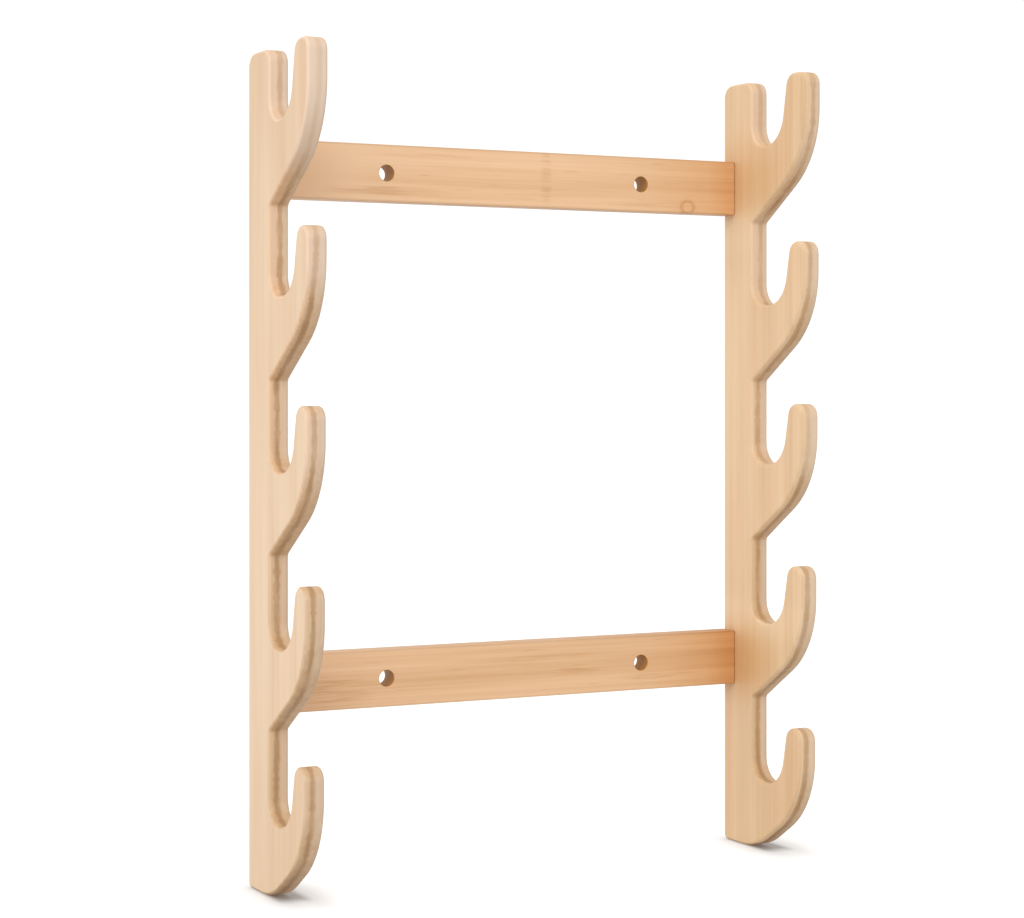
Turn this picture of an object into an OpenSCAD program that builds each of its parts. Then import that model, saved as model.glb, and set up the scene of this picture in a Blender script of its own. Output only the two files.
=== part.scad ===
// Wall display rack for fishing rods. Two boards with a row of hooks stand upright
// at the ends of two flat rails, and hidden dowels hold each rail's ends to the boards.
// Origin: the middle of the four wall screw holes, on the wall plane.
// X runs along the rails, +Y points into the wall and +Z points up.

/* [Bracket boards] */
// Thickness of each bracket board
board_t = 12.5; // [8:0.5:18]
// Depth of the straight strip behind the hooks, from the wall
strip_d = 33; // [28:0.5:38]
// Height of the lowest slot floor above the foot
foot_h = 43; // [34:0.5:60]
// Depth at which the flat foot would meet the bottom hook's slope
foot_d = 36; // [28:0.5:45]
// Radius of the foot's rear corner
heel_r = 4; // [2:0.5:12]
// Radius between the flat foot and the bottom hook's slope
toe_r = 53; // [20:1:60]

/* [Hooks] */
// Number of hooks on each board
hook_count = 5; // [3:1:7]
// Height from one slot floor to the next
hook_pitch = 100; // [90:1:130]
// Reach of the top hook from the wall
hook_reach = 92.5; // [86:0.5:110]
// How much less each hook reaches than the one above it
reach_step = 1.2; // [0:0.1:2]
// Slope of a hook's under edge, in degrees from level
under_slope = 32.5; // [22:0.5:40]
// Drop from a slot floor to where the hook's under edge meets the strip
under_drop = 48; // [36:0.5:50]
// Radius of a hook's outer curve
hook_r = 55; // [20:1:60]
// Radius where a hook's under edge meets the strip
root_r = 3; // [1:0.5:8]

/* [Prongs and slots] */
// Width of a prong at its tip
prong_w = 15; // [12:0.5:20]
// Width of the top hook's prong at its tip
top_prong_w = 19.5; // [12:0.5:22]
// Height of a prong's tip above its slot floor
prong_h = 38; // [30:0.5:46]
// Height of the top hook's tip above its slot floor
top_prong_h = 42; // [30:0.5:60]
// Height of the straight strip's top above the top slot floor
strip_top_h = 42; // [30:0.5:60]
// How far a prong's inner face leans forward over its height
prong_lean = 8; // [0:0.5:9]
// Radius of the corners of the tips
tip_r = 8; // [1:0.5:8]
// Radius of a slot's rear corner
slot_rear_r = 14; // [4:0.5:16]
// Radius of a slot's front corner
slot_front_r = 20; // [4:0.5:20]

/* [Rails] */
// Length of each rail, which is the clear width between the boards
rail_len = 313; // [250:1:900]
// Height of each rail
rail_h = 34; // [28:0.5:44]
// Thickness of each rail
rail_t = 14; // [10:0.5:18]
// Drop from a slot floor to the middle of the rail behind that hook
rail_drop = 24.5; // [18:0.5:26]
// Count of hooks from the foot up to the one that the lower rail stands behind
lower_rail_hook_count = 2; // [1:1:2]

/* [Wall screw holes] */
// Diameter of each screw hole
screw_hole_d = 9.5; // [4:0.5:12]
// Distance between the two screw holes of a rail
screw_gap = 174; // [100:1:200]

/* [Dowel joints] */
// Diameter of each dowel
dowel_d = 6; // [4:0.5:8]
// Length of each dowel
dowel_len = 20; // [16:0.5:30]
// Length of each dowel that stands in the board
dowel_in_board = 7; // [4:0.5:7]
// Distance between the two dowels in a rail end
dowel_gap = 18; // [12:0.5:20]
// Width of the chamfer on a dowel's ends
dowel_chamfer = 0.8; // [0.4:0.1:1.2]
// Radial room for glue around a dowel
glue_gap = 0.05; // [0.02:0.01:0.1]
// Room left for glue past each end of a dowel
dowel_end_gap = 0.5; // [0.2:0.1:0.9]

/* [Hidden] */
$fn = 96;
board_colour = [0.92, 0.80, 0.66];
rail_colour = [0.89, 0.70, 0.52];
dowel_colour = [0.80, 0.66, 0.48];
// Cutters run this far past the faces that they open
overrun = 1;
// Share of an edge that the curves at its two ends may take up
curve_share = 0.98;
// How far a curve's circle runs past its tangent, so that it crosses the edges it joins
curve_lap = 0.02;
top_hook = hook_count - 1;
left = -1;
right = 1;
high = 1;
low = -1;

// Heights above the foot, and then above the origin
function floor_above_foot(hook) = foot_h + hook * hook_pitch;
upper_rail_above_foot = floor_above_foot(top_hook) - rail_drop;
lower_rail_above_foot = floor_above_foot(lower_rail_hook_count - 1) - rail_drop;
foot_z = -(upper_rail_above_foot + lower_rail_above_foot) / 2;
upper_rail_z = foot_z + upper_rail_above_foot;
lower_rail_z = foot_z + lower_rail_above_foot;
function floor_z(hook) = foot_z + floor_above_foot(hook);
function tip_z(hook) = floor_z(hook) + (hook == top_hook ? top_prong_h : prong_h);
strip_top_z = floor_z(top_hook) + strip_top_h;

// Depths from the wall
function reach(hook) = hook_reach - reach_step * (top_hook - hook);
function prong_inner_d(hook) = reach(hook) - (hook == top_hook ? top_prong_w : prong_w);

// Corners are [depth, height, radius], in order round the board
function under_edge(hook) = hook == 0
    ? [[foot_d, foot_z, toe_r],
       [reach(hook), foot_z + (reach(hook) - foot_d) * tan(under_slope), hook_r]]
    : [[strip_d, floor_z(hook) - under_drop, root_r],
       [reach(hook), floor_z(hook) - under_drop + (reach(hook) - strip_d) * tan(under_slope), hook_r]];
function prong_and_slot(hook) =
    [[reach(hook), tip_z(hook), tip_r],
     [prong_inner_d(hook), tip_z(hook), tip_r],
     [prong_inner_d(hook) - prong_lean, floor_z(hook), slot_front_r],
     [strip_d, floor_z(hook), slot_rear_r]];
function board_corners() =
    [[0, foot_z, heel_r],
     for (hook = [0:top_hook]) each concat(under_edge(hook), prong_and_slot(hook)),
     [strip_d, strip_top_z, tip_r],
     [0, strip_top_z, tip_r]];

// Geometry of one rounded corner
function point(corner) = [corner[0], corner[1]];
function unit(v) = v / norm(v);
function neighbour(corners, i, step) = corners[(i + step + len(corners)) % len(corners)];
function towards(corners, i, step) = unit(point(neighbour(corners, i, step)) - point(corners[i]));
function half_angle(corners, i) =
    acos(towards(corners, i, -1) * towards(corners, i, 1)) / 2;
function tangent_len(corners, i) = corners[i][2] / tan(half_angle(corners, i));
function edge_len(corners, i, step) = norm(point(neighbour(corners, i, step)) - point(corners[i]));
function fitted(corners, i, step) =
    curve_share * edge_len(corners, i, step)
    / (tangent_len(corners, i) + tangent_len(corners, (i + step + len(corners)) % len(corners)));
function fitted_r(corners, i) =
    corners[i][2] * min(1, fitted(corners, i, -1), fitted(corners, i, 1));
function turns_out(corners, i) =
    cross(towards(corners, i, 1), towards(corners, i, -1)) > 0;

// What a rounded corner takes off outside its arc, or adds inside a notch
module corner_web(corners, i) {
    r = fitted_r(corners, i);
    to_last = towards(corners, i, -1);
    to_next = towards(corners, i, 1);
    tangent = r / tan(half_angle(corners, i));
    centre = unit(to_last + to_next) * r / sin(half_angle(corners, i));
    spread = 1 + overrun / r;
    translate(point(corners[i]))
        difference() {
            translate(centre)
                polygon([[0, 0],
                         (to_last * tangent - centre) * spread,
                         -centre * spread,
                         (to_next * tangent - centre) * spread]);
            translate(centre) circle(r + curve_lap);
        }
}

module rounded_board(corners) {
    difference() {
        union() {
            linear_extrude(board_t, center = true)
                polygon([for (corner = corners) point(corner)]);
            for (i = [0:len(corners) - 1])
                if (!turns_out(corners, i))
                    linear_extrude(board_t, center = true) corner_web(corners, i);
        }
        for (i = [0:len(corners) - 1])
            if (turns_out(corners, i))
                linear_extrude(board_t + 2 * overrun, center = true) corner_web(corners, i);
    }
}

// Places its children on the axes of the dowels at one end of a rail
module at_dowel(side, rail_z, place) {
    translate([side * rail_len / 2, -rail_t / 2, rail_z + place * dowel_gap / 2])
        rotate([0, -side * 90, 0]) children();
}

// One drilled hole, blind at both ends, through the seam of board and rail
module dowel_hole(side, rail_z, place) {
    at_dowel(side, rail_z, place)
        translate([0, 0, -dowel_in_board - dowel_end_gap])
            cylinder(h = dowel_len + 2 * dowel_end_gap, d = dowel_d + 2 * glue_gap);
}

module dowel(side, rail_z, place) {
    color(dowel_colour)
        at_dowel(side, rail_z, place)
            translate([0, 0, -dowel_in_board]) {
                cylinder(h = dowel_chamfer, d1 = dowel_d - 2 * dowel_chamfer, d2 = dowel_d);
                translate([0, 0, dowel_chamfer])
                    cylinder(h = dowel_len - 2 * dowel_chamfer, d = dowel_d);
                translate([0, 0, dowel_len - dowel_chamfer])
                    cylinder(h = dowel_chamfer, d1 = dowel_d, d2 = dowel_d - 2 * dowel_chamfer);
            }
}

module bracket(side) {
    color(board_colour)
        difference() {
            translate([side * (rail_len + board_t) / 2, 0, 0])
                rotate([90, 0, -90])
                    rounded_board(board_corners());
            for (rail_z = [upper_rail_z, lower_rail_z], place = [low, high])
                dowel_hole(side, rail_z, place);
        }
}

module rail(rail_z) {
    color(rail_colour)
        difference() {
            translate([-rail_len / 2, -rail_t, rail_z - rail_h / 2])
                cube([rail_len, rail_t, rail_h]);
            for (side = [left, right])
                translate([side * screw_gap / 2, overrun, rail_z])
                    rotate([90, 0, 0])
                        cylinder(h = rail_t + 2 * overrun, d = screw_hole_d);
            for (side = [left, right], place = [low, high])
                dowel_hole(side, rail_z, place);
        }
}

bracket(left);  // left_bracket
bracket(right);  // right_bracket
rail(upper_rail_z);  // upper_rail
rail(lower_rail_z);  // lower_rail
dowel(left, upper_rail_z, high);  // dowel_upper_left_high
dowel(left, upper_rail_z, low);  // dowel_upper_left_low
dowel(right, upper_rail_z, high);  // dowel_upper_right_high
dowel(right, upper_rail_z, low);  // dowel_upper_right_low
dowel(left, lower_rail_z, high);  // dowel_lower_left_high
dowel(left, lower_rail_z, low);  // dowel_lower_left_low
dowel(right, lower_rail_z, high);  // dowel_lower_right_high
dowel(right, lower_rail_z, low);  // dowel_lower_right_low
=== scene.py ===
"""Wall rack for fishing rods: bamboo boards, rails and dowels on a plain studio floor."""

import math
from typing import NamedTuple

import bpy
from bpy.props import FloatProperty, FloatVectorProperty, IntProperty, PointerProperty
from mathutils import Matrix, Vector


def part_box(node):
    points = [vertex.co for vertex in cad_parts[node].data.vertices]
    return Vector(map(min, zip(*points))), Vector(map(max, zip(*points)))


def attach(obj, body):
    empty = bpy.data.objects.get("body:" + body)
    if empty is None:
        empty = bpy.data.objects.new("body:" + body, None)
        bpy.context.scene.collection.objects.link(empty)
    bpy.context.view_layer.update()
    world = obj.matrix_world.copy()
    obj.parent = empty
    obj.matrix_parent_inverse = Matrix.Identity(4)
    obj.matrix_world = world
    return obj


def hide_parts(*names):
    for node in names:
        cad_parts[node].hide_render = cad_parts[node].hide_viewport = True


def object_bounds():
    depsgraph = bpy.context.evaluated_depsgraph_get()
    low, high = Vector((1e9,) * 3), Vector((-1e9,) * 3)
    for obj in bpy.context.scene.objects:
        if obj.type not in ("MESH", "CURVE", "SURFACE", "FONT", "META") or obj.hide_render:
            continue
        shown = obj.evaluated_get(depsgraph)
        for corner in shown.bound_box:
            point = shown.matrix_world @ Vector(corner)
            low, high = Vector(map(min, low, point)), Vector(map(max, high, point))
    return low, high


bl_info = {
    "name": "Bamboo Rod Rack",
    "version": (1, 0, 0),
    "blender": (4, 5, 0),
    "location": "3D View > Sidebar > Rod Rack",
    "description": "Dresses a wall rack for fishing rods in bamboo and sets it in a small studio",
    "category": "Add Mesh",
}

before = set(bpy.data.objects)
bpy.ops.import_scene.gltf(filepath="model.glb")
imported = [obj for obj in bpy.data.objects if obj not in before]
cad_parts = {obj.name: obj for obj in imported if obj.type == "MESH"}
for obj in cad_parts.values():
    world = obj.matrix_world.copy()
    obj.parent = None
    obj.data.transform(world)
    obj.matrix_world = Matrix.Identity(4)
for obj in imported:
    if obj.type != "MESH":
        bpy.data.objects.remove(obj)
CAD_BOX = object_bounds()
BOARD_BOX = {side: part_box(side + "_bracket") for side in ("left", "right")}
RAIL_BOX = {place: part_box(place + "_rail") for place in ("upper", "lower")}
RAIL_LEVEL = {place: (low.z + high.z) / 2 for place, (low, high) in RAIL_BOX.items()}
RAIL_FRONT = RAIL_BOX["upper"][0].y
DOWEL_NODES = sorted(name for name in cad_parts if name.startswith("dowel_"))

# Corners of a board's outline: those of each hook, and those of the heel and the strip's top
CORNERS_PER_HOOK = 6
OTHER_CORNERS = 3

# How finely the shapes are cut
CORNER_STEPS = 16
ROUNDING_STEPS = 4
SCREW_HOLE_SIDES = 64
DOWEL_HOLE_SIDES = 32
SHARP_ANGLE = math.radians(40)
MERGE_DISTANCE = 1e-6

# Screw holes in a rail, and dowel holes in a board or rail
SCREW_HOLES = 2
DOWEL_HOLES = 4

# Width of a column and height of a row of nodes in the editor
COLUMN = 200.0
ROW = 180.0


# Node trees written as expressions

class Wire:
    """An output socket. Arithmetic on it adds Math nodes to its tree."""

    def __init__(self, graph, socket):
        self.graph = graph
        self.socket = socket

    def __add__(self, other):
        return self.graph.math("ADD", self, other)

    def __radd__(self, other):
        return self.graph.math("ADD", other, self)

    def __sub__(self, other):
        return self.graph.math("SUBTRACT", self, other)

    def __rsub__(self, other):
        return self.graph.math("SUBTRACT", other, self)

    def __mul__(self, other):
        return self.graph.math("MULTIPLY", self, other)

    def __rmul__(self, other):
        return self.graph.math("MULTIPLY", other, self)

    def __truediv__(self, other):
        return self.graph.math("DIVIDE", self, other)

    def __rtruediv__(self, other):
        return self.graph.math("DIVIDE", other, self)

    def __neg__(self):
        return self.graph.math("MULTIPLY", self, -1.0)

    def __abs__(self):
        return self.graph.math("ABSOLUTE", self)

    def __gt__(self, other):
        return self.graph.math("GREATER_THAN", self, other)

    def __lt__(self, other):
        return self.graph.math("LESS_THAN", self, other)

    def floor(self):
        return self.graph.math("FLOOR", self)

    def toward(self, other, share):
        """This value at share 0, the other at share 1."""
        return self + (other - self) * share


class Graph:
    """A node tree with one method that adds any node."""

    def __init__(self, tree):
        self.tree = tree

    def node(self, kind, values=None, **settings):
        """Adds a node, makes its settings, then gives its sockets values or links."""
        node = self.tree.nodes.new(kind)
        for name, setting in settings.items():
            if name == "choices":
                while len(node.index_switch_items) < setting:
                    node.index_switch_items.new()
            else:
                setattr(node, name, setting)
        for key, value in (values or {}).items():
            socket = self.find(node.inputs, key)
            for each in value if isinstance(value, list) else [value]:
                if isinstance(each, Wire):
                    self.tree.links.new(each.socket, socket)
                else:
                    socket.default_value = each
        return Outputs(self, node)

    @staticmethod
    def find(sockets, key):
        """The usable socket with this number, name or identifier."""
        usable = [socket for socket in sockets if socket.enabled]
        if isinstance(key, int):
            return usable[key]
        return next(socket for socket in usable if key in (socket.name, socket.identifier))

    def math(self, operation, *values):
        return self.node("ShaderNodeMath", dict(enumerate(values)), operation=operation)[0]

    def vector(self, x, y, z):
        return self.node("ShaderNodeCombineXYZ", {0: x, 1: y, 2: z})[0]

    def split(self, vector):
        parts = self.node("ShaderNodeSeparateXYZ", {0: vector})
        return parts["X"], parts["Y"], parts["Z"]

    def blend(self, first, second, share, way="MIX"):
        """The first colour at share 0, the second at share 1."""
        return self.node("ShaderNodeMix", {"Factor": share, "A": first, "B": second},
                         data_type="RGBA", blend_type=way)["Result"]

    def tinted(self, colour_wire, tint, share):
        """The colour, multiplied by the tint as far as the share says."""
        return self.blend(colour_wire, rgba(tint), share, "MULTIPLY")

    def spread_out(self):
        """Places each node one column after the nodes that feed it."""
        column = {}

        def depth(node):
            if node not in column:
                feeding = [link.from_node for socket in node.inputs for link in socket.links]
                column[node] = 1 + max((depth(each) for each in feeding), default=-1)
            return column[node]

        filled = {}
        for node in self.tree.nodes:
            place = depth(node)
            filled[place] = filled.get(place, 0) + 1
            node.location = (place * COLUMN, -filled[place] * ROW)


class Outputs:
    """What a node gives, by name or number."""

    def __init__(self, graph, node):
        self.graph = graph
        self.node = node

    def __getitem__(self, key):
        return Wire(self.graph, Graph.find(self.node.outputs, key))


# Sizes and colours that a user would change

def length(name, description, default):
    return FloatProperty(name=name, description=description, default=default, min=0.0,
                         unit="LENGTH", subtype="DISTANCE", precision=4)


def strength(name, description, default, **more):
    return FloatProperty(name=name, description=description, default=default, min=0.0, **more)


def colour(name, description, default):
    return FloatVectorProperty(name=name, description=description, default=default, size=3,
                               min=0.0, max=1.0, subtype="COLOR")


def place_in_room(name, description, default):
    return FloatVectorProperty(name=name, description=description, default=default, size=3,
                               unit="LENGTH", subtype="TRANSLATION")


def per_hook(name, description, default, **more):
    """One value for each hook, from the foot up."""
    return FloatVectorProperty(name=name, description=description + ", from the foot up", default=default,
                               size=len(default), min=0.0, **more)


class BoardSizes(bpy.types.PropertyGroup):
    """Sizes of the two hooked boards."""
    strip_depth: length("Strip Depth", "Depth of the straight strip behind the hooks", 0.033)
    foot_height: length("Foot Height", "Height of the lowest slot floor above the foot", 0.043)
    foot_depth: length("Foot Depth", "Depth at which the flat foot would meet the bottom hook", 0.036)
    heel_radius: length("Heel Radius", "Radius of the foot's rear corner", 0.004)
    toe_radius: length("Toe Radius", "Radius between the foot and the bottom hook", 0.053)
    hooks: IntProperty(name="Hooks", description="Number of hooks on each board", default=5, min=3, max=7)
    pitch: length("Hook Pitch", "Height from one slot floor to the next", 0.1)
    reach: length("Reach", "Reach of the top hook from the wall", -CAD_BOX[0].y)
    reach_step: length("Reach Step", "How much less each hook reaches than the one above", 0.0012)
    under_slope: FloatProperty(name="Under Slope", description="Slope of a hook's under edge from level",
                               default=math.radians(32.5), min=math.radians(12), max=math.radians(50),
                               unit="ROTATION", subtype="ANGLE")
    under_drop: length("Under Drop", "Drop from a slot floor to the foot of the under edge", 0.048)
    hook_radius: length("Hook Radius", "Radius of a hook's outer curve", 0.055)
    root_radius: length("Root Radius", "Radius where a hook's under edge meets the strip", 0.003)
    prong_width: length("Prong Width", "Width of a prong at its tip", 0.015)
    top_prong_width: length("Top Prong Width", "Width of the top prong at its tip", 0.0195)
    prong_height: length("Prong Height", "Height of a tip above its slot floor", 0.038)
    top_prong_height: length("Top Prong Height", "Height of the top tip above its slot floor", 0.042)
    strip_top_height: length("Strip Top Height", "Height of the strip's top above the top slot floor", 0.042)
    prong_lean: length("Prong Lean", "How far a prong's inner face leans forward", 0.008)
    tip_radius: length("Tip Radius", "Radius of the corners of the tips", 0.008)
    slot_rear_radius: length("Slot Rear Radius", "Radius of a slot's rear corner", 0.014)
    slot_front_radius: length("Slot Front Radius", "Radius of a slot's front corner", 0.02)
    edge_round: length("Edge Rounding", "Radius sanded on the edges of the outline", 0.002)


class RailSizes(bpy.types.PropertyGroup):
    """Sizes of the two rails and of the joints at their ends."""
    screw_gap: length("Screw Gap", "Distance between the two screw holes", 0.174)
    screw_hole: length("Screw Hole", "Diameter of a screw hole", 0.0095)
    dowel_hole: length("Dowel Hole", "Diameter of a dowel hole", 0.0061)
    dowel_gap: length("Dowel Gap", "Distance between the two dowels in a rail end", 0.018)
    hole_in_board: length("Hole In Board", "Depth of a dowel hole in the board", 0.0075)
    hole_in_rail: length("Hole In Rail", "Depth of a dowel hole in the rail", 0.0135)
    edge_round: length("Edge Rounding", "Radius sanded on the rail's edges", 0.001)
    rim_round: length("Rim Rounding", "Radius on the rims of the screw holes", 0.0005)


class BambooFinish(bpy.types.PropertyGroup):
    """Colours of the bamboo, with tints that paint shade and highlights on it, and the size of its strips
    and plies.
    """
    board_light: colour("Board Light", "Lightest fibre on a board's sides", (0.81, 0.615, 0.43))
    board_dark: colour("Board Dark", "Darkest fibre on a board's sides", (0.65, 0.44, 0.26))
    left_tint: colour("Left Board Tint", "How the left board's colour differs", (1.0, 1.0, 1.0))
    right_tint: colour("Right Board Tint", "How the right board's colour differs", (1.0, 0.965, 0.875))
    blush: colour("Blush", "Rosy tint that drifts over the boards", (1.0, 0.95, 0.93))
    # Painted shade and reflected light: a warm tint for the shade and the light thrown back round the joints
    # and on the rails' right parts
    honey: colour("Honey", "Deeper tint round the joints and at the rails' ends", (0.90, 0.78, 0.60))
    edge_light: colour("Edge Light", "Outer plies where the outline is cut", (0.84, 0.59, 0.395))
    edge_dark: colour("Edge Dark", "Darkest fibre of the outer plies in the cut edge", (0.71, 0.46, 0.285))
    left_ply: colour("Left Ply", "How the ply on a board's left deepens towards the foot",
                     (0.84, 0.85, 0.80))
    right_ply: colour("Right Ply", "How the ply on a board's right differs from the other",
                      (0.89, 0.95, 1.0))
    # End grain and painted shade: deeper tint where the cut edge faces up or down, also for the shade on the
    # downward slopes
    end_grain: colour("End Grain", "Tint where the outline cuts across the fibre", (0.94, 0.87, 0.76))
    rubbed: colour("Rubbed Edge", "Cut edge where handling has rubbed it pale", (0.80, 0.625, 0.49))
    left_prongs: per_hook("Left Prongs", "How pale each left prong's cut edge is rubbed",
                          (0.2, 0.05, 0.45, 0.7, 1.0), max=1.0)
    right_prongs: per_hook("Right Prongs", "How pale each right prong's cut edge is rubbed",
                           (0.45, 0.55, 0.85, 0.6, 0.6), max=1.0)
    left_slots: per_hook("Left Slots", "How pale the strip's cut edge is at each left slot",
                         (0.0, 0.0, 0.0, 0.1, 0.65), max=1.0)
    right_slots: per_hook("Right Slots", "How pale the strip's cut edge is at each right slot",
                          (0.1, 0.05, 0.45, 0.7, 0.75), max=1.0)
    left_drops: per_hook("Left Drops", "How far each left prong's pale edge reaches below its slot floor",
                         (0.0, 0.0, 0.0, 0.0, 0.030), unit="LENGTH")
    right_drops: per_hook("Right Drops", "How far each right prong's pale edge reaches below its slot floor",
                          (0.0, 0.018, 0.010, 0.0, 0.022), unit="LENGTH")
    left_fade: length("Left Fade", "Width over which the left board's side turns into cut edge", 0.0004)
    right_fade: length("Right Fade", "Width over which the right board's side turns into cut edge", 0.0008)
    # Painted highlight: a lighter colour laid on the rounded rim where a prong's side meets its cut edge
    rim: colour("Rim", "Light rounded rim between a board's side and its cut edge", (0.93, 0.71, 0.51))
    left_rim: length("Left Rim", "How far that rim reaches in on the left board's prongs", 0.0)
    right_rim: length("Right Rim", "How far that rim reaches in on the right board's prongs", 0.0021)
    core_shift: length("Core Shift", "How far right of the middle the core ply stands at the top", 0.0007)
    core_drift: length("Core Drift", "How far the core ply drifts to the left further down", 0.002)
    core_light: colour("Core Light", "Light fibre of the core ply", (0.60, 0.385, 0.22))
    core_dark: colour("Core Dark", "Dark fibre of the core ply", (0.45, 0.265, 0.13))
    rail_light: colour("Rail Light", "Lightest fibre on a rail", (0.93, 0.62, 0.38))
    rail_dark: colour("Rail Dark", "Darkest fibre on a rail", (0.66, 0.36, 0.165))
    # Painted shade on the rails' long rounded edges and on the boards' cut edges at the foot
    worn: colour("Worn Edge", "Tint of the rails' sanded edges and of the boards' feet", (0.80, 0.76, 0.72))
    bore: colour("Drilled Hole", "Wall of a screw hole", (0.50, 0.235, 0.04))
    board_strip: length("Board Strip", "Width of one bamboo strip in a board's side", 0.0085)
    rail_strip: length("Rail Strip", "Width of one bamboo strip in a rail's face", 0.0115)
    ply_thickness: length("Ply Thickness", "Thickness of each outer ply of a board", 0.0047)
    dowel_tone: colour("Dowel", "Colour of the dowels", (0.66, 0.45, 0.27))
    gloss: FloatProperty(name="Roughness", description="Roughness of the satin finish", default=0.5,
                         min=0.1, max=1.0, subtype="FACTOR")


class StudioSettings(bpy.types.PropertyGroup):
    """Camera, floor and light."""
    camera_place: place_in_room("Camera", "Where the camera stands", (-0.6491, -1.2911, 0.0234))
    camera_turn: FloatProperty(name="Camera Turn", description="How far the camera is turned from the wall",
                               default=math.radians(26.812), unit="ROTATION", subtype="ANGLE")
    lens: FloatProperty(name="Lens", description="Focal length in millimetres on a 36 mm sensor",
                        default=82.495, min=10.0)
    horizon_shift: FloatProperty(name="Shift", description="Vertical shift that frames the rack",
                                 default=-0.07109)
    floor_size: length("Floor Size", "Width of the square floor", 60.0)
    floor_colour: colour("Floor", "Colour of the floor", (0.7, 0.7, 0.7))
    floor_glow: strength("Floor Glow", "How much the floor outshines faint shadows", 0.5)
    contact_shade: colour("Contact Shade", "Colour of the floor close to the feet", (0.50, 0.49, 0.485))
    contact: length("Contact", "How far from the feet the floor is shaded", 0.04)
    contact_right: length("Contact Right", "How far that shade is moved to the right", 0.004)
    contact_front: length("Contact Front", "How far that shade is full in front of the foot", 0.005)
    sky: strength("Room Light", "Strength of the soft light from above", 0.96)
    ground: strength("Light From Below", "Strength of the soft light from below", 0.64)
    lean: strength("Light From The Left", "How much stronger the room light is on the left", 0.25,
                   max=1.0, subtype="FACTOR")
    backdrop: strength("Backdrop", "Brightness of the backdrop behind the rack", 1.1)
    key_place: place_in_room("Key Light Place", "Where the large soft light hangs", (-1.7, -1.9, 1.4))
    key_size: length("Key Light Size", "Diameter of the large soft light", 1.6)
    key_power: strength("Key Light", "Power of the large soft light", 20.0, unit="POWER")


BOARD_LENGTHS = [name for name in BoardSizes.__annotations__
                 if name not in ("hooks", "under_slope", "edge_round")]
RAIL_LENGTHS = ("screw_gap", "screw_hole", "edge_round", "rim_round")


# Geometry

def placed(name, data):
    """A new object in the scene."""
    item = bpy.data.objects.new(name, data)
    bpy.context.scene.collection.objects.link(item)
    return item


def new_group(name, sockets):
    """A geometry node group: its graph, its inputs as wires, and the identifier of each."""
    tree = bpy.data.node_groups.new(name, "GeometryNodeTree")
    graph = Graph(tree)
    identifiers = {}
    for label, (kind, value) in sockets.items():
        socket = tree.interface.new_socket(label, in_out="INPUT", socket_type="NodeSocket" + kind)
        if value is not None:
            socket.default_value = value
        identifiers[label] = socket.identifier
    tree.interface.new_socket("Geometry", in_out="OUTPUT", socket_type="NodeSocketGeometry")
    entry = graph.node("NodeGroupInput")
    return graph, {label: entry[identifier] for label, identifier in identifiers.items()}, identifiers


def drilled(graph, solid, count, place, turn, radius, depth, sides):
    """The solid with round holes drilled at the places, by bits whose middles are there."""
    points = graph.node("GeometryNodePoints", {"Count": count, "Position": place})[0]
    bit = graph.node("GeometryNodeMeshCylinder",
                     {"Vertices": sides, "Radius": radius, "Depth": depth})["Mesh"]
    bits = graph.node("GeometryNodeInstanceOnPoints",
                      {"Points": points, "Instance": bit, "Rotation": turn})[0]
    bits = graph.node("GeometryNodeRealizeInstances", {"Geometry": bits})[0]
    return graph.node("GeometryNodeMeshBoolean", {"Mesh 1": solid, "Mesh 2": [bits]},
                      operation="DIFFERENCE", solver="EXACT")["Mesh"]


def finished(graph, solid, material):
    """Ends the group: one real mesh in its material."""
    solid = graph.node("GeometryNodeRealizeInstances", {"Geometry": solid})[0]
    solid = graph.node("GeometryNodeSetMaterial", {"Geometry": solid, "Material": material})[0]
    graph.node("NodeGroupOutput", {"Geometry": solid})
    graph.spread_out()


def sharp_edges(graph):
    return graph.node("GeometryNodeInputMeshEdgeAngle")["Unsigned Angle"] > SHARP_ANGLE


def to_round(graph, solid, share):
    """Marks the sharp edges with the share of the full rounding that each gets."""
    marks = {"Geometry": solid, "Name": "bevel_weight_edge", "Value": sharp_edges(graph) * share}
    return graph.node("GeometryNodeStoreNamedAttribute", marks, data_type="FLOAT", domain="EDGE")[0]


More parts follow.
